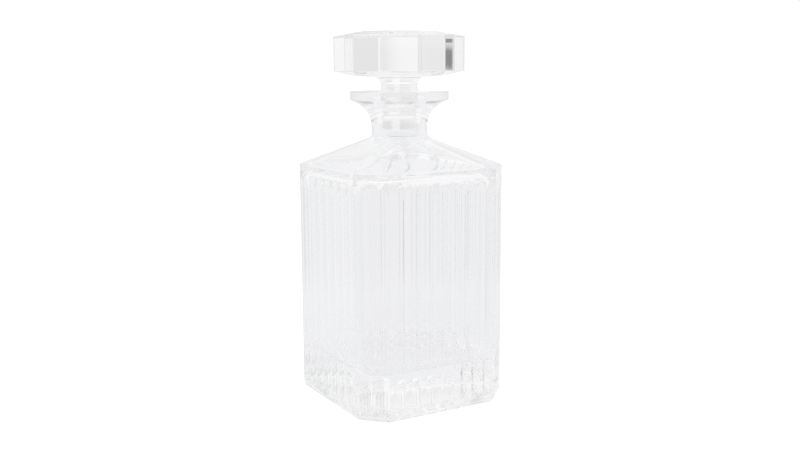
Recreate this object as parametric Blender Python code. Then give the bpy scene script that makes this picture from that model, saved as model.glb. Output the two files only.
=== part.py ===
"""A square cut-crystal decanter and its ground stopper, in metres, +Z up.

The origin is the centre of the base, and -Y is the front face. Both pieces are lofted: a stack of
level rings, each with the same number of points, is skinned into one closed body. The bottle's
stack runs up its outside, over the rim and down its inside to the floor of the hollow.
"""

import math

import bmesh
import bpy

# Body, outside
BODY_WIDTH = 0.095  # flat to flat
FACE_FLUTES = 7  # cuts on each flat side
CORNER_FLUTES = 2  # cuts on each cut-off corner
FLUTE_DEPTH = 0.0010
FLUTE_LOW = 0.0058  # height of the flutes' lower tips
FLUTE_HIGH = 0.1300  # height of their upper tips
LOW_TIP_RUN = 0.0050  # length over which a cut rounds out at its lower tip
HIGH_TIP_RUN = 0.0120
BASE_ROUND = 0.0050  # radius of the edge round the underside
RECESS_RADIUS = 0.0300  # shallow ground hollow under the base
RECESS_DEPTH = 0.0008
SHOULDER_HEIGHT = 0.1352
SHOULDER_EDGE = 0.0012  # rounding of the edge where the shoulder starts

# Neck and lip, outside
NECK_RADIUS = 0.0160
NECK_FOOT = 0.1508
FLARE_START = 0.1570
FLARE_RADIUS = 0.0142  # the quarter-round that opens the neck into the lip
LIP_RADIUS = 0.0280
LIP_UNDERSIDE = 0.1716
LIP_TOP = 0.1765
LIP_EDGE = 0.0006

# Hollow
WALL = 0.0055
HOLLOW_CORNER = 0.0180  # radius of the hollow's four upright corners
FLOOR_HEIGHT = 0.0240
FLOOR_ROUND = 0.0080
HOLLOW_TOP = 0.1305  # where the hollow starts to close in under the shoulder
BORE_FOOT = 0.1475
BORE_EDGE = 0.0008

# Stopper
GAP = 0.0003  # between the plug and the bore
PLUG_RADIUS = 0.0106  # at the level of the lip
PLUG_LENGTH = 0.0220
PLUG_TAPER = 0.05  # change of radius per length: a 1 in 10 ground joint
PLUG_ROUND = 0.0015
WAIST_RADIUS = 0.0104
WAIST_HEIGHT = 0.1792
HEAD_SIDES = 10
HEAD_ACROSS = 0.0706  # flat to flat
HEAD_TURN = math.radians(-10.8)  # the stopper sits turned against the body's faces
STEM_TOP_RADIUS = 0.0140
STEM_TOP = 0.1842
UNDERSIDE_ACROSS = 0.0500
UNDERSIDE_HEIGHT = 0.1850
GIRDLE_LOW = 0.1876
GIRDLE_HIGH = 0.2070
TABLE_ACROSS = 0.0456
TABLE_HEIGHT = 0.2094
TOTAL_HEIGHT = 0.2102

# Fineness
STEPS_PER_FLUTE = 3
STEPS_PER_FACET = 6
ROUND_STEPS = 3
FLARE_STEPS = 5
STEM_STEPS = 4
LOW_TIP_SHARES = (0.3, 1)  # rings along a flute's lower tip, as shares of the tip's length
HIGH_TIP_SHARES = (1, 0.6, 0.3, 0)
SHOULDER_SHARES = (0.03, 0.5, 1)  # rings along the shoulder, from its edge to the neck
VAULT_SHARES = (0.12, 0.55, 0.92)  # rings from the bore out to the hollow's walls
VAULT_CURVE = 1.3  # above 1 the vault is rounder near the bore
VAULT_EDGE = 0.0040  # drop from the vault to the straight walls

# Worked out from the above
FLUTE_PITCH = BODY_WIDTH / (FACE_FLUTES + math.sqrt(2) * CORNER_FLUTES)
CORNER_CUT = FLUTE_PITCH * CORNER_FLUTES / math.sqrt(2)
HALF_WIDTH = BODY_WIDTH / 2
HOLLOW_HALF = HALF_WIDTH - WALL


def clear_scene():
    for obj in list(bpy.data.objects):
        bpy.data.objects.remove(obj, do_unlink=True)


def body_corners(inset):
    """The eight corners of the body's plan, anticlockwise from the front face's left end."""
    half = HALF_WIDTH - inset
    cut = CORNER_CUT - inset * (2 - math.sqrt(2))
    front = [(-half + cut, -half), (half - cut, -half)]
    corners = []
    for turn in range(4):
        quarter = turn * math.pi / 2
        for x, y in front:
            turned_x = x * math.cos(quarter) - y * math.sin(quarter)
            turned_y = x * math.sin(quarter) + y * math.cos(quarter)
            corners.append((turned_x, turned_y))
    return corners


def flute_cut(across, height):
    """Depth of the cuts at a share of a flute's width and a height: arcs that fade at both tips."""
    from_tip = min((height - FLUTE_LOW) / LOW_TIP_RUN, (FLUTE_HIGH - height) / HIGH_TIP_RUN)
    lift = (1 - min(max(from_tip, 0), 1)) ** 2
    return FLUTE_DEPTH * max(0, 1 - (2 * across - 1) ** 2 - lift)


def body_outline(inset, height):
    """Points round the body's plan, three to a flute, cut back by the flutes at this height."""
    corners = body_corners(inset)
    outline = []
    for side, start in enumerate(corners):
        end = corners[(side + 1) % len(corners)]
        length = math.dist(start, end)
        along = ((end[0] - start[0]) / length, (end[1] - start[1]) / length)
        inward = (-along[1], along[0])
        flutes = CORNER_FLUTES if side % 2 else FACE_FLUTES
        steps = flutes * STEPS_PER_FLUTE
        for step in range(steps):
            across = step / STEPS_PER_FLUTE % 1
            depth = flute_cut(across, height)
            run = length * step / steps
            x = start[0] + along[0] * run + inward[0] * depth
            y = start[1] + along[1] * run + inward[1] * depth
            outline.append((x, y))
    return outline


def body_angles():
    """The direction of each column of points, seen from the axis."""
    return [math.atan2(y, x) for x, y in body_outline(0, 0)]


def circle(radius, angles):
    return [(radius * math.cos(angle), radius * math.sin(angle)) for angle in angles]


def rounded_square(half, corner, angles):
    """A square with round corners, one point in each direction."""
    outline = []
    straight = half - corner
    for angle in angles:
        x, y = abs(math.cos(angle)), abs(math.sin(angle))
        reach = half / max(x, y)
        if min(x, y) * reach > straight:
            middle = straight * (x + y)
            reach = middle + math.sqrt(middle**2 - 2 * straight**2 + corner**2)
        outline.append((reach * math.cos(angle), reach * math.sin(angle)))
    return outline


def between(first, second, share):
    return [
        (a[0] + (b[0] - a[0]) * share, a[1] + (b[1] - a[1]) * share)
        for a, b in zip(first, second)
    ]


def at(height, outline):
    return [(x, y, height) for x, y in outline]


def quarter_steps(steps=ROUND_STEPS):
    """Angles of a quarter turn, ends included."""
    return [math.pi / 2 * step / steps for step in range(steps + 1)]


def base_rings(angles):
    """The underside, its recess and the rounded edge."""
    rings = [
        at(RECESS_DEPTH, circle(RECESS_RADIUS - RECESS_DEPTH, angles)),
        at(0, circle(RECESS_RADIUS, angles)),
    ]
    for turn in quarter_steps():
        inset = BASE_ROUND * (1 - math.sin(turn))
        height = BASE_ROUND * (1 - math.cos(turn))
        rings.append(at(height, body_outline(inset, height)))
    return rings


def wall_rings():
    """The fluted walls, with rings close together where the cuts run out."""
    heights = [FLUTE_LOW]
    heights += [FLUTE_LOW + LOW_TIP_RUN * share for share in LOW_TIP_SHARES]
    heights += [FLUTE_HIGH - HIGH_TIP_RUN * share for share in HIGH_TIP_SHARES]
    heights.append(SHOULDER_HEIGHT - SHOULDER_EDGE)
    return [at(height, body_outline(0, height)) for height in heights]


def shoulder_rings(angles):
    """The sloping shoulder, from the body's outline to the round neck."""
    edge = body_outline(0, SHOULDER_HEIGHT)
    foot = circle(NECK_RADIUS, angles)
    rise = NECK_FOOT - SHOULDER_HEIGHT
    rings = []
    for share in SHOULDER_SHARES:
        rings.append(at(SHOULDER_HEIGHT + rise * share, between(edge, foot, share)))
    return rings


def lip_rings(angles):
    """The neck's straight part, its flare, and the lip with its softened edges."""
    rings = [at(FLARE_START, circle(NECK_RADIUS, angles))]
    centre_radius = NECK_RADIUS + FLARE_RADIUS
    for turn in quarter_steps(FLARE_STEPS)[1:-1]:
        radius = centre_radius - FLARE_RADIUS * math.cos(turn)
        height = FLARE_START + FLARE_RADIUS * math.sin(turn)
        rings.append(at(height, circle(radius, angles)))
    profile = [
        (LIP_RADIUS, LIP_UNDERSIDE + LIP_EDGE),
        (LIP_RADIUS, LIP_TOP - LIP_EDGE),
        (LIP_RADIUS - LIP_EDGE, LIP_TOP),
        (bore_radius(LIP_TOP) + BORE_EDGE, LIP_TOP),
    ]
    return rings + [at(height, circle(radius, angles)) for radius, height in profile]


def bore_radius(height):
    """The ground bore follows the plug's taper, a gap away, and stays straight below it."""
    down = min(LIP_TOP - height, PLUG_LENGTH)
    return PLUG_RADIUS - PLUG_TAPER * down + GAP


def hollow_rings(angles):
    """The bore, the underside of the shoulder, the hollow's walls and its rounded floor."""
    rings = []
    for height in (LIP_TOP - BORE_EDGE, LIP_TOP - PLUG_LENGTH, BORE_FOOT):
        rings.append(at(height, circle(bore_radius(height), angles)))
    bore = circle(bore_radius(BORE_FOOT), angles)
    walls = rounded_square(HOLLOW_HALF, HOLLOW_CORNER, angles)
    drop = BORE_FOOT - HOLLOW_TOP
    for share in VAULT_SHARES:
        height = BORE_FOOT - drop * share**VAULT_CURVE
        rings.append(at(height, between(bore, walls, share)))
    rings.append(at(HOLLOW_TOP - VAULT_EDGE, walls))
    for turn in quarter_steps():
        inset = FLOOR_ROUND * (1 - math.cos(turn))
        height = FLOOR_HEIGHT + FLOOR_ROUND * (1 - math.sin(turn))
        outline = rounded_square(HOLLOW_HALF - inset, HOLLOW_CORNER - inset, angles)
        rings.append(at(height, outline))
    return rings


def bottle_rings():
    angles = body_angles()
    return (
        base_rings(angles)
        + wall_rings()
        + shoulder_rings(angles)
        + lip_rings(angles)
        + hollow_rings(angles)
    )


def head_angles():
    count = HEAD_SIDES * STEPS_PER_FACET
    first = math.pi / HEAD_SIDES
    return [first + math.tau * step / count for step in range(count)]


def head_outline(across):
    """The head's regular plan, with the same number of points on each side."""
    reach = across / 2 / math.cos(math.pi / HEAD_SIDES)
    corners = circle(reach, [math.tau * (side + 0.5) / HEAD_SIDES for side in range(HEAD_SIDES)])
    outline = []
    for side, start in enumerate(corners):
        end = corners[(side + 1) % HEAD_SIDES]
        for step in range(STEPS_PER_FACET):
            share = step / STEPS_PER_FACET
            outline += between([start], [end], share)
    return outline


def plug_rings(angles):
    """The tapered ground plug and the waist above it."""
    foot = LIP_TOP - PLUG_LENGTH
    foot_radius = PLUG_RADIUS - PLUG_TAPER * PLUG_LENGTH
    profile = []
    for turn in quarter_steps():
        radius = foot_radius - PLUG_ROUND * (1 - math.sin(turn))
        profile.append((radius, foot + PLUG_ROUND * (1 - math.cos(turn))))
    profile.append((PLUG_RADIUS, LIP_TOP))
    profile.append((WAIST_RADIUS, WAIST_HEIGHT))
    for turn in quarter_steps(STEM_STEPS)[1:]:
        radius = STEM_TOP_RADIUS - (STEM_TOP_RADIUS - WAIST_RADIUS) * math.cos(turn)
        profile.append((radius, WAIST_HEIGHT + (STEM_TOP - WAIST_HEIGHT) * math.sin(turn)))
    return [at(height, circle(radius, angles)) for radius, height in profile]


def head_rings():
    """The head's underside facets, upright girdle, top facets and table."""
    profile = [
        (UNDERSIDE_ACROSS, UNDERSIDE_HEIGHT),
        (HEAD_ACROSS, GIRDLE_LOW),
        (HEAD_ACROSS, GIRDLE_HIGH),
        (TABLE_ACROSS, TABLE_HEIGHT),
    ]
    return [at(height, head_outline(across)) for across, height in profile]


def loft(rings, last_point=None):
    """Skins a stack of rings, closing the first with a face and the last with a face or a point."""
    mesh = bmesh.new()
    loops = [[mesh.verts.new(point) for point in ring] for ring in rings]
    mesh.faces.new(reversed(loops[0]))
    for lower, upper in zip(loops, loops[1:]):
        for i in range(len(lower)):
            j = (i + 1) % len(lower)
            mesh.faces.new((lower[i], lower[j], upper[j], upper[i]))
    if last_point is None:
        mesh.faces.new(loops[-1])
    else:
        tip = mesh.verts.new(last_point)
        for i, vertex in enumerate(loops[-1]):
            mesh.faces.new((vertex, loops[-1][(i + 1) % len(loops[-1])], tip))
    return mesh


def glass(name, colour, roughness):
    material = bpy.data.materials.new(name)
    material.use_nodes = True
    shader = material.node_tree.nodes["Principled BSDF"]
    shader.inputs["Base Color"].default_value = (*colour, 1)
    shader.inputs["Roughness"].default_value = roughness
    shader.inputs["Metallic"].default_value = 0
    shader.inputs["Transmission Weight"].default_value = 1
    shader.inputs["IOR"].default_value = 1.54
    return material


def add_piece(name, shape, material):
    mesh = bpy.data.meshes.new(name)
    shape.to_mesh(mesh)
    shape.free()
    mesh.shade_smooth()
    mesh.set_sharp_from_angle(angle=math.radians(14))
    mesh.materials.append(material)
    piece = bpy.data.objects.new(name, mesh)
    bpy.context.scene.collection.objects.link(piece)
    return piece


def build():
    clear_scene()
    add_piece("bottle", loft(bottle_rings()), glass("bottle_crystal", (0.97, 0.98, 0.99), 0.0))
    stopper_rings = plug_rings(head_angles()) + head_rings()
    stopper_shape = loft(stopper_rings, (0, 0, TOTAL_HEIGHT))
    stopper = add_piece("stopper", stopper_shape, glass("stopper_crystal", (0.96, 0.97, 0.99), 0.0))
    stopper.rotation_euler.z = HEAD_TURN


build()
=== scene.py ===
"""Looks of the cut crystal decanter: finely cut glass for both pieces, a table that glows with
painted light and a camera.
"""

import math

import bpy
import numpy as np
from mathutils import Matrix, Vector


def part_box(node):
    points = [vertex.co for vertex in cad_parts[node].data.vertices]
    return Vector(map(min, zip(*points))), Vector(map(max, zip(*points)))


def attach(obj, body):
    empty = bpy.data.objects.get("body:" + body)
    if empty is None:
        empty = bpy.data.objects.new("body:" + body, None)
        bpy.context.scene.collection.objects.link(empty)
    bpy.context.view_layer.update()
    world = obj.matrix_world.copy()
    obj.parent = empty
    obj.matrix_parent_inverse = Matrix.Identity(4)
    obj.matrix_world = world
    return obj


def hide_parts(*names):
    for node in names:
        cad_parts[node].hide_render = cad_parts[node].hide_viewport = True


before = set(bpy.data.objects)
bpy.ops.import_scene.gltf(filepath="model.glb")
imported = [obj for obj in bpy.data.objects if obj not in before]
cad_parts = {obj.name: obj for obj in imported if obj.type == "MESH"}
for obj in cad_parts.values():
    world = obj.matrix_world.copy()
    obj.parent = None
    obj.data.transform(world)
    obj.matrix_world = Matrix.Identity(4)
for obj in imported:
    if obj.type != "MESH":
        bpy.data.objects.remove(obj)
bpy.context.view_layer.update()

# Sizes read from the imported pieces, in metres
_, BOTTLE_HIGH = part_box("bottle")
STOPPER_LOW, STOPPER_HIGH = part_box("stopper")
HALF_WIDTH = BOTTLE_HIGH[0]
LIP_TOP = BOTTLE_HIGH[2]
PLUG_FOOT = STOPPER_LOW[2]
TOTAL_HEIGHT = STOPPER_HIGH[2]

# The rest of the design, the same as the CAD model's
FACE_FLUTES = 7
CORNER_FLUTES = 2
FLUTE_DEPTH = 0.0010
FLUTE_LOW = 0.0058
FLUTE_HIGH = 0.1300
LOW_TIP_RUN = 0.0050
HIGH_TIP_RUN = 0.0120
BASE_ROUND = 0.0050
RECESS_RADIUS = 0.0300
RECESS_DEPTH = 0.0008
SHOULDER_HEIGHT = 0.1352
NECK_RADIUS = 0.0160
NECK_FOOT = 0.1508
FLARE_START = 0.1570
FLARE_RADIUS = 0.0142
LIP_RADIUS = 0.0280
LIP_UNDERSIDE = 0.1716
WALL = 0.0055
HOLLOW_CORNER = 0.0180
FLOOR_HEIGHT = 0.0240
FLOOR_ROUND = 0.0080
HOLLOW_TOP = 0.1305
BORE_FOOT = 0.1475
PLUG_RADIUS = 0.0106
PLUG_TAPER = 0.05
PLUG_ROUND = 0.0015
WAIST_RADIUS = 0.0104
WAIST_HEIGHT = 0.1792
HEAD_SIDES = 10
HEAD_ACROSS = 0.0706
HEAD_TURN = math.radians(-10.8)
STEM_TOP_RADIUS = 0.0140
STEM_TOP = 0.1842
UNDERSIDE_ACROSS = 0.0500
UNDERSIDE_HEIGHT = 0.1850
GIRDLE_LOW = 0.1876
GIRDLE_HIGH = 0.2070
TABLE_ACROSS = 0.0456
TABLE_HEIGHT = 0.2094

GLASS_IOR = 1.54
POLISH_ROUGHNESS = (0.008, 0.02)  # least and most, over the clean polished surface
MARK_ROUGHNESS = 0.08
SCUFF_ROUGHNESS = 0.25
GROUND_ROUGHNESS = 0.16
RIPPLE_DEPTH = 0.000008

# Fineness of each noise: a larger number is a finer pattern
POLISH_GRAIN = 30
MARK_GRAIN = 55
FINGER_RIDGES = 900
SCUFF_GRAIN = 1500
GRINDING_GRAIN = 2600
RIPPLE_GRAIN = 150

PLUG_POLISHED = 0.002  # height of the plug's polished foot
BAND_MARGIN = 0.001  # the ground band stops this far below the lip's top
GRINDING_RELIEF = 0.3  # height of the grinding rings, as a share of the ripple's
BAND_FADE = 0.0003  # the ground band fades in and out over twice this height
BAND_RADIUS = (0.0112, 0.0116)  # outside this the glass is polished
BOTTLE_HANDLED = (0.03, 0.15)  # heights between which fingers touch it
MARKS_FADE = 0.01  # height over which finger marks come and go
SCUFF_HEIGHT = (0.0004, 0.0012)  # scuffs are full below the first and gone by the second

CAMERA_AZIMUTH = -29.77  # degrees round from the front face
CAMERA_PITCH = 9.11  # degrees down
CAMERA_ROLL = -0.33
CAMERA_LENS = 43.9
CAMERA_DISTANCE = 0.5575  # level, from the decanter's axis
CAMERA_HEIGHT = 0.189

# The studio, fixed in the CAD frame. BEHIND is the level direction that the camera looks in. A stop
# is a level direction, in degrees clockwise from BEHIND, and how bright it is there.
BEHIND = (0.4965, 0.868, 0.0)
RIGHTWARD = (0.868, -0.4965, 0.0)
ROOM_LOW = (
    (-180, 0.40), (-150, 0.50), (-112, 0.90), (-35, 0.95), (-22, 0.87), (-4, 0.79), (-0.7, 0.79),
    (0.1, 0.98), (9, 0.98), (14, 0.78), (24, 0.80), (45, 0.95), (62, 0.96), (92, 0.90), (100.5, 0.80),
    (103, 0.12), (103.6, 0.12), (105.5, 0.75), (125, 0.55), (180, 0.40),
)
ROOM = (
    (-180, 0.45), (-140, 0.50), (-110, 0.92), (-35, 0.95), (-22, 0.87), (-4, 0.82), (-1.5, 0.80),
    (0, 0.98), (9, 0.98), (14, 0.79), (24, 0.80), (45, 0.95), (62, 0.97), (85, 0.90), (97, 0.72),
    (108, 0.72), (125, 0.50), (180, 0.45),
)
# Rises of a direction, as its Z, where the room goes from ROOM_LOW to ROOM and on upwards
ROOM_SILL = (0.018, 0.024)
ROOM_TO_UPPER = (0.20, 0.60)
UPPER_TO_OVERHEAD = (0.80, 0.97)
ROOM_UPPER = 0.96
ROOM_OVERHEAD = 1.1
# The table glows with painted light. These stops, in the same degrees, set its glow further out, with
# painted shade darkest in front. TABLE_UNDER and TABLE_NEAR set it round the decanter.
TABLE = (
    (-180, 0.48), (-130, 0.55), (-90, 0.86), (-30, 0.90), (0, 0.91), (30, 0.90), (60, 0.85),
    (95, 0.78), (130, 0.52), (180, 0.48),
)
TABLE_UNDER = 0.90
TABLE_NEAR = 0.89
TABLE_UNDER_FADE = (0.03, 0.08)  # distances from the axis
TABLE_FADE = (0.10, 0.30)
TABLE_GREY = 0.1
TABLE_BOUNCE = 0.08  # what the room adds to the table's own brightness
TABLE_REACH = 9.0
TABLE_TOP = -0.00005
BURNT_OUT = 1.1
GLASS_BOUNCES = 200  # the thick glass pipes light round inside itself many times
ROOM_TINT = (0.998, 0.998, 1.0)
TABLE_TINT = (0.976, 0.979, 1.0)

# Finer detail than the CAD model has
GROUND_GAP = 0.0001  # all round the plug
STEPS_PER_FLUTE = 14
RIDGE_ROUND = 0.0010  # radius of the ridges between the cuts
STEPS_PER_FACET = 16
STEPS_PER_CORNER = 5  # of those, how many go round the head's softened corner
FACET_EDGE = 0.0005
RECESS_EDGE = 0.001  # reach of the curve at the recess's rim
SHOULDER_EDGE = 0.0010
SHOULDER_PLAIN = (0.03, 0.93)  # shares of the slope between its softened edge and foot
NECK_EDGE = 0.0018
LIP_EDGE = 0.0007
MOUTH_EDGE = 0.0012
BORE_EDGE = 0.003
VAULT_PLAIN = (0.12, 0.86)  # the same shares for the hollow's vaulted top
VAULT_EDGE = 0.004

FLUTE_PITCH = 2 * HALF_WIDTH / (FACE_FLUTES + math.sqrt(2) * CORNER_FLUTES)
CORNER_CUT = FLUTE_PITCH * CORNER_FLUTES / math.sqrt(2)
HOLLOW_HALF = HALF_WIDTH - WALL
PLUG_LENGTH = LIP_TOP - PLUG_FOOT


def body_corners(inset):
    """The eight corners of the body's plan, anticlockwise from the front face's left end."""
    half = HALF_WIDTH - inset
    cut = CORNER_CUT - inset * (2 - math.sqrt(2))
    corners = []
    for turn in range(4):
        c, s = math.cos(turn * math.pi / 2), math.sin(turn * math.pi / 2)
        for x, y in ((-half + cut, -half), (half - cut, -half)):
            corners.append((x * c - y * s, x * s + y * c))
    return np.array(corners)


def flute_steps():
    """Places across one flute, close together at the sharp ridges."""
    share = np.arange(STEPS_PER_FLUTE) / STEPS_PER_FLUTE
    return (1 - np.cos(math.pi * share)) / 2


def flute_profile(across):
    """Depth of a full cut across one flute, its ridges rounded by the fire polish."""
    half = FLUTE_PITCH / 2
    slope = 4 * FLUTE_DEPTH / FLUTE_PITCH
    blend = RIDGE_ROUND * slope
    from_ridge = half * (1 - np.abs(2 * across - 1))
    arc = FLUTE_DEPTH * (1 - (1 - np.maximum(from_ridge, blend) / half) ** 2)
    return arc - (blend**2 - np.minimum(from_ridge, blend) ** 2) / (2 * RIDGE_ROUND)


def body_ring(inset, height):
    """The body's plan at a height, with the flutes cut into it."""
    from_tip = min((height - FLUTE_LOW) / LOW_TIP_RUN, (FLUTE_HIGH - height) / HIGH_TIP_RUN)
    lift = (1 - min(max(from_tip, 0), 1)) ** 2
    corners = body_corners(inset)
    parts = []
    for side, start in enumerate(corners):
        end = corners[(side + 1) % 8]
        flutes = CORNER_FLUTES if side % 2 else FACE_FLUTES
        across = np.tile(flute_steps(), flutes)
        share = (np.repeat(np.arange(flutes), STEPS_PER_FLUTE) + across) / flutes
        along = (end - start) / np.linalg.norm(end - start)
        inward = np.array((-along[1], along[0]))
        depth = np.maximum(0, flute_profile(across) - FLUTE_DEPTH * lift)
        parts.append(start + np.outer(share, end - start) + np.outer(depth, inward))
    plan = np.concatenate(parts)
    return np.column_stack((plan, np.full(len(plan), height)))


def circle_ring(radius, height, angles):
    return np.column_stack(
        (radius * np.cos(angles), radius * np.sin(angles), np.full(len(angles), height))
    )


def hollow_ring(inset, height, angles):
    """The hollow's plan: a square with round corners."""
    half, corner = HOLLOW_HALF - inset, max(HOLLOW_CORNER - inset, 0.001)
    straight = half - corner
    x, y = np.abs(np.cos(angles)), np.abs(np.sin(angles))
    reach = half / np.maximum(x, y)
    middle = straight * (x + y)
    round_reach = middle + np.sqrt(np.maximum(middle**2 - 2 * straight**2 + corner**2, 0))
    reach = np.where(np.minimum(x, y) * reach > straight, round_reach, reach)
    return circle_ring(reach, height, angles)


def blend_rings(first, second, share):
    return first + (second - first) * share


def rounded(first, corner, last, steps):
    """Rings along the curve that softens a corner between two rings."""
    rings = []
    for share in np.linspace(0, 1, steps + 1):
        rings.append(
            (1 - share) ** 2 * first + 2 * share * (1 - share) * corner + share**2 * last
        )
    return rings


def base_rings(angles):
    centre = circle_ring(0.0004, RECESS_DEPTH, angles)
    rings = [centre]
    for radius in (0.010, 0.020, 0.026):
        rings.append(circle_ring(radius, RECESS_DEPTH, angles))
    rings += rounded(
        circle_ring(RECESS_RADIUS - 0.003, RECESS_DEPTH, angles),
        circle_ring(RECESS_RADIUS - RECESS_EDGE, RECESS_DEPTH, angles),
        circle_ring(RECESS_RADIUS - 0.0005, RECESS_DEPTH / 2, angles),
        4,
    )
    rings += rounded(
        circle_ring(RECESS_RADIUS - 0.0002, RECESS_DEPTH / 4, angles),
        circle_ring(RECESS_RADIUS, 0, angles),
        circle_ring(RECESS_RADIUS + 0.0008, 0, angles),
        3,
    )
    for turn in np.linspace(0, math.pi / 2, 9):
        inset = BASE_ROUND * (1 - math.sin(turn))
        rings.append(body_ring(inset, BASE_ROUND * (1 - math.cos(turn))))
    return rings


def wall_rings():
    low = FLUTE_LOW + LOW_TIP_RUN * np.linspace(0, 1, 17) ** 1.4
    high = FLUTE_HIGH - HIGH_TIP_RUN * np.linspace(1, 0, 23) ** 1.4
    middle = np.linspace(low[-1], high[0], 12)[1:-1]
    return [body_ring(0, height) for height in (*low, *middle, *high)]


def shoulder_rings(angles):
    edge = body_ring(0, SHOULDER_HEIGHT)
    foot = circle_ring(NECK_RADIUS, NECK_FOOT, angles)
    neck = circle_ring(NECK_RADIUS, NECK_FOOT + NECK_EDGE, angles)
    first, last = SHOULDER_PLAIN
    rings = rounded(
        body_ring(0, SHOULDER_HEIGHT - SHOULDER_EDGE), edge, blend_rings(edge, foot, first), 5
    )
    for share in np.linspace(first, last, 12)[1:-1]:
        rings.append(blend_rings(edge, foot, share))
    rings += rounded(blend_rings(edge, foot, last), foot, neck, 6)
    return rings


def lip_rings(angles):
    rings = []
    centre = NECK_RADIUS + FLARE_RADIUS
    for turn in np.linspace(0, math.radians(72), 16):
        radius = centre - FLARE_RADIUS * math.cos(turn)
        rings.append(circle_ring(radius, FLARE_START + FLARE_RADIUS * math.sin(turn), angles))
    edges = [
        (LIP_RADIUS - LIP_EDGE, LIP_UNDERSIDE - 0.0003),
        (LIP_RADIUS, LIP_UNDERSIDE),
        (LIP_RADIUS, LIP_UNDERSIDE + LIP_EDGE),
        (LIP_RADIUS, LIP_TOP - LIP_EDGE),
        (LIP_RADIUS, LIP_TOP),
        (LIP_RADIUS - LIP_EDGE, LIP_TOP),
        (bore_radius(LIP_TOP) + MOUTH_EDGE, LIP_TOP),
        (bore_radius(LIP_TOP), LIP_TOP),
        (bore_radius(LIP_TOP - MOUTH_EDGE), LIP_TOP - MOUTH_EDGE),
    ]
    for i in (0, 3, 6):
        rings += rounded(*[circle_ring(*edges[i + k], angles) for k in range(3)], 5)
    return rings


def bore_radius(height):
    down = min(LIP_TOP - height, PLUG_LENGTH)
    return PLUG_RADIUS - PLUG_TAPER * down + GROUND_GAP


def hollow_rings(angles):
    """The bore, the underside of the shoulder, the walls and the rounded floor."""
    rings = []
    for height in np.linspace(LIP_TOP - MOUTH_EDGE, BORE_FOOT + BORE_EDGE, 14)[1:]:
        rings.append(circle_ring(bore_radius(height), height, angles))
    walls = hollow_ring(0, HOLLOW_TOP, angles)
    bore = circle_ring(bore_radius(BORE_FOOT), BORE_FOOT, angles)
    first, last = VAULT_PLAIN
    rings += rounded(
        circle_ring(bore_radius(BORE_FOOT), BORE_FOOT + BORE_EDGE, angles),
        bore,
        blend_rings(bore, walls, first),
        6,
    )
    rings += [blend_rings(bore, walls, share) for share in np.linspace(first, last, 11)[1:-1]]
    rings += rounded(
        blend_rings(bore, walls, last), walls, hollow_ring(0, HOLLOW_TOP - VAULT_EDGE, angles), 9
    )
    low = FLOOR_HEIGHT + FLOOR_ROUND
    for height in np.linspace(HOLLOW_TOP - VAULT_EDGE, low, 16)[1:-1]:
        rings.append(hollow_ring(0, height, angles))
    for turn in np.linspace(0, math.pi / 2, 10):
        inset = FLOOR_ROUND * (1 - math.cos(turn))
        rings.append(hollow_ring(inset, low - FLOOR_ROUND * math.sin(turn), angles))
    floor = rings[-1]
    centre = floor * (0.001, 0.001, 1)
    rings += [blend_rings(floor, centre, share) for share in (0.3, 0.6, 0.85, 1)]
    return rings


def head_ring(across, height):
    """The head's plan: its sides, with softened corners between them."""
    reach = across / 2 / math.cos(math.pi / HEAD_SIDES)
    side_angles = math.tau * (np.arange(HEAD_SIDES) + 0.5) / HEAD_SIDES
    corners = reach * np.column_stack((np.cos(side_angles), np.sin(side_angles)))
    soft = min(FACET_EDGE * 1.2, across / 30)
    plan = []
    for side, corner in enumerate(corners):
        before = corners[side - 1] - corner
        after = corners[(side + 1) % HEAD_SIDES] - corner
        length = np.linalg.norm(after)
        first, last = corner + before / length * soft, corner + after / length * soft
        for share in np.linspace(0, 1, STEPS_PER_CORNER):
            plan.append(
                (1 - share) ** 2 * first + 2 * share * (1 - share) * corner + share**2 * last
            )
        far = corners[(side + 1) % HEAD_SIDES] - after / length * soft
        inner = np.linspace(0, 1, STEPS_PER_FACET - STEPS_PER_CORNER + 2)[1:-1]
        plan += [last + (far - last) * share for share in inner]
    plan = np.array(plan)
    return np.column_stack((plan, np.full(len(plan), height)))


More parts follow.
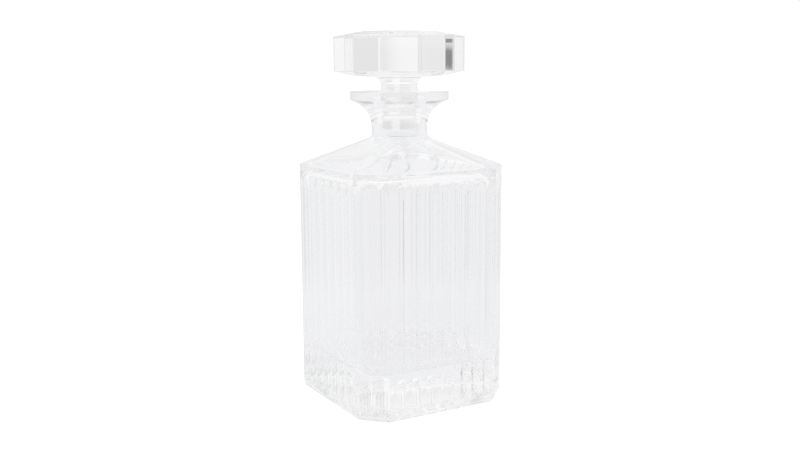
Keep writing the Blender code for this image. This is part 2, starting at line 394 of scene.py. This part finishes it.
def stopper_rings():
    plan = head_ring(HEAD_ACROSS, 0)
    angles = np.arctan2(plan[:, 1], plan[:, 0])
    foot_radius = PLUG_RADIUS - PLUG_TAPER * PLUG_LENGTH
    rings = [circle_ring(r, PLUG_FOOT, angles) for r in (0.0002, 0.003, 0.006)]
    for turn in np.linspace(0, math.pi / 2, 8):
        radius = foot_radius - PLUG_ROUND * (1 - math.sin(turn))
        rings.append(circle_ring(radius, PLUG_FOOT + PLUG_ROUND * (1 - math.cos(turn)), angles))
    for height in np.linspace(PLUG_FOOT + PLUG_ROUND, LIP_TOP, 14)[1:]:
        radius = PLUG_RADIUS - PLUG_TAPER * (LIP_TOP - height)
        rings.append(circle_ring(radius, height, angles))
    rings.append(circle_ring((PLUG_RADIUS + WAIST_RADIUS) / 2, LIP_TOP + 0.0014, angles))
    for turn in np.linspace(0, math.radians(80), 14):
        radius = STEM_TOP_RADIUS - (STEM_TOP_RADIUS - WAIST_RADIUS) * math.cos(turn)
        height = WAIST_HEIGHT + (STEM_TOP - WAIST_HEIGHT) * math.sin(turn)
        rings.append(circle_ring(radius, height, angles))
    corners = [
        circle_ring(STEM_TOP_RADIUS + 0.001, STEM_TOP + 0.0001, angles),
        head_ring(UNDERSIDE_ACROSS, UNDERSIDE_HEIGHT),
        head_ring(HEAD_ACROSS, GIRDLE_LOW),
        head_ring(HEAD_ACROSS, GIRDLE_HIGH),
        head_ring(TABLE_ACROSS, TABLE_HEIGHT),
        head_ring(TABLE_ACROSS * 0.01, TOTAL_HEIGHT),
    ]
    lengths = [np.linalg.norm(b - a, axis=1).mean() for a, b in zip(corners, corners[1:])]
    for i in range(1, len(corners) - 1):
        back = FACET_EDGE / lengths[i - 1]
        on = FACET_EDGE / lengths[i]
        first = blend_rings(corners[i], corners[i - 1], back)
        last = blend_rings(corners[i], corners[i + 1], on)
        for share in (0.7, 0.4, 0.1):
            rings.append(blend_rings(first, blend_rings(corners[i - 1], corners[i], on), share))
        rings += rounded(first, corners[i], last, 5)
    for share in (0.3, 0.6, 0.9, 1):
        rings.append(blend_rings(corners[-2], corners[-1], share))
    return rings


def bottle_rings():
    plan = body_ring(0, 0)
    angles = np.arctan2(plan[:, 1], plan[:, 0])
    return (
        base_rings(angles)
        + wall_rings()
        + shoulder_rings(angles)
        + lip_rings(angles)
        + hollow_rings(angles)
    )


def loft(name, rings):
    """Skins a stack of rings into one closed, smooth-shaded mesh object."""
    points = np.concatenate(rings)
    count = len(rings[0])
    here = np.arange(count)
    after = (here + 1) % count
    faces = []
    for level in range(len(rings) - 1):
        low, high = level * count, (level + 1) * count
        quads = np.column_stack((low + here, low + after, high + after, high + here))
        faces += quads.tolist()
    faces.append(here[::-1].tolist())
    faces.append(((len(rings) - 1) * count + here).tolist())
    mesh = bpy.data.meshes.new(name)
    mesh.from_pydata(points.tolist(), [], faces)
    mesh.shade_smooth()
    mesh.validate()
    piece = bpy.data.objects.new(name, mesh)
    bpy.context.scene.collection.objects.link(piece)
    normals = piece.modifiers.new("normals", "WEIGHTED_NORMAL")
    normals.mode = "FACE_AREA"
    normals.weight = 80
    return piece


class Nodes:
    """Adds nodes to one tree and joins them up."""

    def __init__(self, tree):
        self.tree = tree

    def put(self, socket, value):
        if isinstance(value, bpy.types.NodeSocket):
            self.tree.links.new(value, socket)
        else:
            socket.default_value = value

    def math(self, operation, *values):
        node = self.tree.nodes.new("ShaderNodeMath")
        node.operation = operation
        for socket, value in zip(node.inputs, values):
            self.put(socket, value)
        return node.outputs[0]

    def mix(self, first, second, share):
        return self.math("MULTIPLY_ADD", self.math("SUBTRACT", second, first), share, first)

    def dot(self, vector, other):
        node = self.tree.nodes.new("ShaderNodeVectorMath")
        node.operation = "DOT_PRODUCT"
        self.put(node.inputs[0], vector)
        node.inputs[1].default_value = other
        return node.outputs["Value"]

    def ramp(self, value, start, end, low=0.0, high=1.0):
        """A smooth step from low to high as value goes from start to end."""
        node = self.tree.nodes.new("ShaderNodeMapRange")
        node.interpolation_type = "SMOOTHSTEP"
        self.put(node.inputs["Value"], value)
        limits = {"From Min": start, "From Max": end, "To Min": low, "To Max": high}
        for name, number in limits.items():
            self.put(node.inputs[name], number)
        return node.outputs["Result"]

    def length(self, x, y):
        squares = self.math("MULTIPLY_ADD", y, y, self.math("MULTIPLY", x, x))
        return self.math("SQRT", squares)

    def stretch(self, vector, factors):
        node = self.tree.nodes.new("ShaderNodeVectorMath")
        node.operation = "MULTIPLY"
        self.put(node.inputs[0], vector)
        node.inputs[1].default_value = factors
        return node.outputs[0]

    def noise(self, vector, scale, detail=2.0):
        node = self.tree.nodes.new("ShaderNodeTexNoise")
        self.put(node.inputs["Vector"], vector)
        node.inputs["Scale"].default_value = scale
        node.inputs["Detail"].default_value = detail
        return node.outputs["Fac"]


def crystal(name, ground_low, ground_high, handled_low, handled_high):
    """Clear cut glass: fire-polished ripple, a ground band, finger marks and a scuffed foot."""
    material = bpy.data.materials.new(name)
    material.use_nodes = True
    tree = material.node_tree
    nodes = Nodes(tree)
    shader = tree.nodes["Principled BSDF"]
    shader.inputs["Base Color"].default_value = (1, 1, 1, 1)
    shader.inputs["Transmission Weight"].default_value = 1
    shader.inputs["IOR"].default_value = GLASS_IOR
    place = tree.nodes.new("ShaderNodeTexCoord").outputs["Object"]
    parts = tree.nodes.new("ShaderNodeSeparateXYZ")
    tree.links.new(place, parts.inputs[0])
    height = parts.outputs["Z"]
    radius = nodes.length(parts.outputs["X"], parts.outputs["Y"])

    # Ground band of the joint: level grinding rings, only near the bore
    ground = nodes.math(
        "MULTIPLY",
        nodes.ramp(height, ground_low - BAND_FADE, ground_low + BAND_FADE),
        nodes.ramp(height, ground_high - BAND_FADE, ground_high + BAND_FADE, 1.0, 0.0),
    )
    ground = nodes.math("MULTIPLY", ground, nodes.ramp(radius, *BAND_RADIUS, 1.0, 0.0))
    rings = nodes.noise(nodes.stretch(place, (0.05, 0.05, 1)), GRINDING_GRAIN)

    # Finger marks where the piece is picked up, and a fine ring of scuffs where it stands
    handled = nodes.math(
        "MULTIPLY",
        nodes.ramp(height, handled_low, handled_low + MARKS_FADE),
        nodes.ramp(height, handled_high - MARKS_FADE, handled_high, 1.0, 0.0),
    )
    marks = nodes.ramp(nodes.noise(place, MARK_GRAIN, 3), 0.50, 0.66)
    ridges = nodes.noise(nodes.stretch(place, (1, 1, 3)), FINGER_RIDGES)
    marks = nodes.math("MULTIPLY", nodes.math("MULTIPLY", marks, ridges), handled)
    scuffs = nodes.ramp(nodes.noise(place, SCUFF_GRAIN, 4), 0.45, 0.62)
    scuffs = nodes.math("MULTIPLY", scuffs, nodes.ramp(height, *SCUFF_HEIGHT, 1.0, 0.0))

    polish = nodes.ramp(nodes.noise(place, POLISH_GRAIN), 0.3, 0.7, *POLISH_ROUGHNESS)
    rough = nodes.math("MULTIPLY_ADD", marks, MARK_ROUGHNESS, polish)
    rough = nodes.math("MULTIPLY_ADD", scuffs, SCUFF_ROUGHNESS, rough)
    grinding = nodes.math("MULTIPLY", ground, rings)
    rough = nodes.math("MULTIPLY_ADD", grinding, GROUND_ROUGHNESS, rough)
    tree.links.new(rough, shader.inputs["Roughness"])

    ripple = nodes.noise(nodes.stretch(place, (1, 1, 0.35)), RIPPLE_GRAIN)
    relief = nodes.math("MULTIPLY_ADD", grinding, GRINDING_RELIEF, ripple)
    bump = tree.nodes.new("ShaderNodeBump")
    bump.inputs["Strength"].default_value = 1
    bump.inputs["Distance"].default_value = RIPPLE_DEPTH
    tree.links.new(relief, bump.inputs["Height"])
    tree.links.new(bump.outputs["Normal"], shader.inputs["Normal"])
    return material


def add_camera():
    """Looks down a little at the decanter's front and left sides."""
    azimuth = math.radians(CAMERA_AZIMUTH)
    pitch = math.radians(CAMERA_PITCH)
    roll = math.radians(CAMERA_ROLL)
    camera = bpy.data.objects.new("camera", bpy.data.cameras.new("camera"))
    camera.data.sensor_width = 36
    camera.data.lens = CAMERA_LENS
    camera.data.clip_start = 0.01
    forward = Vector(
        (-math.sin(azimuth) * math.cos(pitch), math.cos(azimuth) * math.cos(pitch), -math.sin(pitch))
    )
    right = Vector((math.cos(azimuth), math.sin(azimuth), 0))
    up = right.cross(forward)
    right, up = (
        right * math.cos(roll) + up * math.sin(roll),
        up * math.cos(roll) - right * math.sin(roll),
    )
    across, ahead = math.sin(azimuth), math.cos(azimuth)
    place = Vector((across * CAMERA_DISTANCE, -ahead * CAMERA_DISTANCE, CAMERA_HEIGHT))
    columns = Matrix((right, up, -forward)).transposed()
    camera.matrix_world = Matrix.Translation(place) @ columns.to_4x4()
    bpy.context.scene.collection.objects.link(camera)
    bpy.context.scene.camera = camera


def shade_around(nodes, vector, stops):
    """Brightness by level direction, from stops that count degrees clockwise from BEHIND."""
    angle = nodes.math("ARCTAN2", nodes.dot(vector, RIGHTWARD), nodes.dot(vector, BEHIND))
    node = nodes.tree.nodes.new("ShaderNodeValToRGB")
    nodes.put(node.inputs[0], nodes.math("MULTIPLY_ADD", angle, 0.5 / math.pi, 0.5))
    stops = sorted((degrees / 360 + 0.5, light) for degrees, light in stops)
    for place, light in stops[2:]:
        node.color_ramp.elements.new(place)
    for element, (place, light) in zip(node.color_ramp.elements, stops):
        element.position = place
        element.color = (light, light, light, 1)
    return node.outputs["Color"]


def white_to_camera(nodes, light):
    """The backdrop and table burn out to white where they are seen directly."""
    seen = nodes.tree.nodes.new("ShaderNodeLightPath").outputs["Is Camera Ray"]
    return nodes.math("MAXIMUM", light, nodes.math("MULTIPLY", seen, BURNT_OUT))


def add_world():
    """A soft pale room: brightest behind, dim in front, with one dark strip low on the right."""
    world = bpy.data.worlds.new("studio")
    bpy.context.scene.world = world
    world.use_nodes = True
    tree = world.node_tree
    nodes = Nodes(tree)
    direction = tree.nodes.new("ShaderNodeTexCoord").outputs["Generated"]
    parts = tree.nodes.new("ShaderNodeSeparateXYZ")
    tree.links.new(direction, parts.inputs[0])
    height = parts.outputs["Z"]
    light = shade_around(nodes, direction, ROOM_LOW)
    light = nodes.mix(light, shade_around(nodes, direction, ROOM), nodes.ramp(height, *ROOM_SILL))
    high = nodes.ramp(height, *UPPER_TO_OVERHEAD, ROOM_UPPER, ROOM_OVERHEAD)
    light = nodes.mix(light, high, nodes.ramp(height, *ROOM_TO_UPPER))
    light = white_to_camera(nodes, light)
    tree.links.new(light, tree.nodes["Background"].inputs["Strength"])
    tree.nodes["Background"].inputs["Color"].default_value = (*ROOM_TINT, 1)


def add_table():
    """A wide pale table whose glow is painted light: even round the decanter, with painted shade
    further out, darkest in front.
    """
    mesh = bpy.data.meshes.new("table")
    far = TABLE_REACH
    corners = ((-far, -far), (far, -far), (far, far), (-far, far))
    mesh.from_pydata([(x, y, TABLE_TOP) for x, y in corners], [], [(0, 1, 2, 3)])
    table = bpy.data.objects.new("table", mesh)
    bpy.context.scene.collection.objects.link(table)
    material = bpy.data.materials.new("table_painted_glow")
    mesh.materials.append(material)
    material.use_nodes = True
    tree = material.node_tree
    nodes = Nodes(tree)
    place = tree.nodes.new("ShaderNodeNewGeometry").outputs["Position"]
    reach = tree.nodes.new("ShaderNodeVectorMath")
    reach.operation = "LENGTH"
    tree.links.new(place, reach.inputs[0])
    reach = reach.outputs["Value"]
    near = nodes.ramp(reach, *TABLE_UNDER_FADE, TABLE_UNDER, TABLE_NEAR)
    out = shade_around(nodes, place, TABLE)
    away = nodes.ramp(reach, *TABLE_FADE)
    light = nodes.mix(near, out, away)
    shader = tree.nodes["Principled BSDF"]
    shader.inputs["Base Color"].default_value = (TABLE_GREY, TABLE_GREY, TABLE_GREY, 1)
    shader.inputs["Roughness"].default_value = 0.7
    shader.inputs["Specular IOR Level"].default_value = 0
    shader.inputs["Emission Color"].default_value = (*TABLE_TINT, 1)
    # The emission is the painted light, less what the room adds by bouncing off the table; seen
    # directly it burns out to white.
    light = white_to_camera(nodes, nodes.math("SUBTRACT", light, TABLE_BOUNCE))
    tree.links.new(light, shader.inputs["Emission Strength"])


add_world()
add_table()
add_camera()

bottle = loft("crystal_bottle", bottle_rings())
bottle_glass = crystal("bottle_glass", PLUG_FOOT, LIP_TOP - BAND_MARGIN, *BOTTLE_HANDLED)
bottle.data.materials.append(bottle_glass)
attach(bottle, "decanter")
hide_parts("bottle")

stopper = loft("crystal_stopper", stopper_rings())
stopper.data.transform(Matrix.Rotation(HEAD_TURN, 4, "Z"))
stopper_handled = (GIRDLE_LOW - MARKS_FADE, TABLE_HEIGHT)
stopper_glass = crystal(
    "stopper_glass", PLUG_FOOT + PLUG_POLISHED, LIP_TOP - BAND_MARGIN, *stopper_handled
)
stopper.data.materials.append(stopper_glass)
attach(stopper, "stopper")
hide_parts("stopper")

bpy.context.scene.view_settings.view_transform = "Standard"
bpy.context.scene.cycles.max_bounces = GLASS_BOUNCES
bpy.context.scene.cycles.transmission_bounces = GLASS_BOUNCES
bpy.context.scene.cycles.glossy_bounces = GLASS_BOUNCES
bpy.context.scene.cycles.diffuse_bounces = 2
